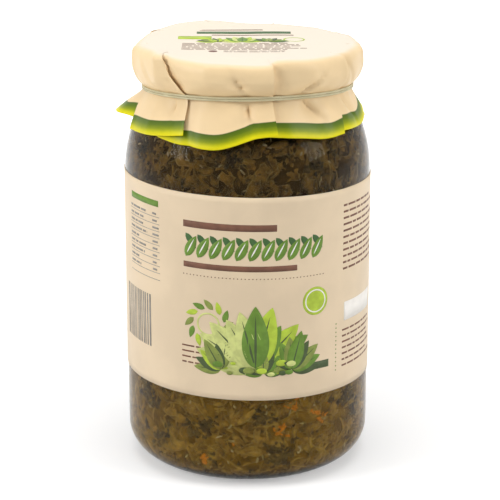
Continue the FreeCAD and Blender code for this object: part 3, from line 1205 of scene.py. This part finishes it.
def on_top(across, up, lift=0.0):
    """A place on the flat top of the cover, which is a little uneven."""
    radius = math.hypot(across, up)
    z = COVER_TOP - through(DROPS, radius / MM) * MM
    return across, up, z + uneven(across, up) + lift + 0.02 * MM


def print_top(looks):
    """The top repeats the label's plain shapes, smaller."""
    page = Print(on_top)
    rng = random.Random(6)
    page.bar("brown", -20, 24, 26, 1.3)
    page.bar("deep", -20, 17, 37, 4.4)
    page.bar("lime", -27, 5, 13, 6.4)
    page.bar("brown", -14, 13.4, 32, 1.2)
    page.fan(-2, 0, 11, ("lime", "pale", "green"), 9, 150, rng)
    page.fan(8, 0, 8, ("dark", "olive", "green"), 8, 150, rng, tilt=75)
    page.fan(-12, 0, 8, ("dark", "lime", "olive"), 8, 140, rng, tilt=110)
    page.disc("lime", 18, 5, 4.2, hole=3.6)
    page.lines("brown", -25, -4, 48, 6, 2.4, 0.75, rng, 0.2)
    page.disc("brown", -13, -19.6, 1.7)
    page.lines("brown", -9, -19, 24, 2, 2.0, 0.5, rng, 0.2)
    page.made("cover_print", "cover_paper", looks)


STRAND_RADIUS = 0.43 * MM
BAND_RADIUS = 40.6 * MM


def make_elastic():
    """Two turns of a round elastic, side by side, that ride up and down a little."""
    steps, sides = 260, 12
    points, faces = [], []
    for strand, side in enumerate((-1, 1)):
        first = len(points)
        for k in range(steps):
            turn = 2 * math.pi * k / steps
            x, y = math.sin(turn), -math.cos(turn)
            wander = noise.noise(Vector((x, y, 2.0)) * 1.6)
            gap = STRAND_RADIUS + 0.05 * MM * noise.noise(Vector((x, y, 9.0)) * 2.0)
            ring = BAND_RADIUS + 0.08 * MM * noise.noise(Vector((x, y, 5.0 * strand)) * 2.0)
            z = WAIST_Z + side * gap + 0.2 * MM * wander + ring * (WAIST_TILT * x - WAIST_LEAN * y)
            for s in range(sides):
                angle = 2 * math.pi * s / sides
                r = ring + STRAND_RADIUS * math.cos(angle)
                points.append((r * x, r * y, z + STRAND_RADIUS * math.sin(angle)))
        faces += grid_faces(steps, sides, first, wrap_rows=True, wrap_columns=True)
    elastic = clean(add_mesh("elastic_strands", points, faces))
    keep(elastic, elastic_look(), "elastic", "elastic_band")


# --- stage

# The white room's light on the jar. It looks fully white itself.
ROOM_LIGHT = 0.28
LAMP_AIM = Vector((0, 0, 80 * MM))


def make_stage():
    """A white floor that looks lit from within, most of all far from the jar, in a white room."""
    corners = [(-3, -3, 0), (3, -3, 0), (3, 3, 0), (-3, 3, 0)]
    floor = add_mesh("floor", corners, [(0, 1, 2, 3)])
    look = Look("white_floor", Roughness=0.9, Specular_IOR_Level=0.0)
    look.set(Base_Color=(0.75, 0.75, 0.75, 1), Emission_Color=(1, 1, 1, 1))
    away = look.add("VectorMath", {0: look.place()}, operation="LENGTH").outputs["Value"]
    glow = look.math("MULTIPLY", look.background_rays(), look.range(away, 0.08, 0.5, 0.35, 1.0))
    look.feed(look.shader.inputs["Emission Strength"], glow)
    floor.data.materials.append(look.material)

    world = bpy.data.worlds.new("white_room")
    world.use_nodes = True
    room = Nodes(world.node_tree)
    background = room.nodes["Background"].inputs
    room.feed(background["Color"], (1, 1, 1))
    strength = room.add("MapRange", {"Value": room.background_rays(), "To Min": ROOM_LIGHT})
    room.feed(background["Strength"], strength.outputs["Result"])
    bpy.context.scene.world = world


def make_lamp(name, place, size, power):
    data = bpy.data.lights.new(name, "AREA")
    data.shape = "RECTANGLE"
    data.size, data.size_y = size
    data.energy = power
    lamp = linked(name, data)
    lamp.location = place
    lamp.rotation_euler = (LAMP_AIM - Vector(place)).to_track_quat("-Z", "Y").to_euler()


def make_lamps():
    make_lamp("overhead", (0.0, -0.05, 1.1), (1.0, 0.9), 7.4)
    make_lamp("left", (-1.0, -0.4, 0.6), (0.4, 0.6), 7.2)
    make_lamp("right", (1.0, -0.4, 0.6), (0.4, 0.6), 6.0)


def make_camera():
    data = bpy.data.cameras.new("camera")
    data.lens = CAMERA_LENS
    data.sensor_width = 36
    data.shift_x = CAMERA_SHIFT
    camera = linked("camera", data)
    camera.location = (0, -CAMERA_DISTANCE, CAMERA_HEIGHT)
    camera.rotation_euler = (math.radians(90 - CAMERA_PITCH), 0, 0)
    bpy.context.scene.camera = camera
    bpy.context.scene.view_settings.view_transform = "Standard"


INK_COLOURS = {
    "brown": (0.17, 0.075, 0.045),
    "green": (0.13, 0.24, 0.03),
    "deep": (0.045, 0.11, 0.03),
    "lime": (0.42, 0.55, 0.05),
    "olive": (0.23, 0.28, 0.06),
    "dark": (0.06, 0.09, 0.03),
    "pale": (0.58, 0.62, 0.22),
    "grey": (0.28, 0.26, 0.23),
    "white": (0.88, 0.84, 0.78),
}
INKS = {}
for ink_name, ink_colour in INK_COLOURS.items():
    unevenness = 0.02 if ink_name == "white" else 0.12
    INKS[ink_name] = ink_look("ink_" + ink_name, ink_colour, unevenness)

make_camera()
make_stage()
make_lamps()
make_glass()
jar_wall = Wall()
make_core(jar_wall)
make_shreds(jar_wall)
make_label()
print_label(INKS)
make_cover()
print_top(INKS)
make_elastic()
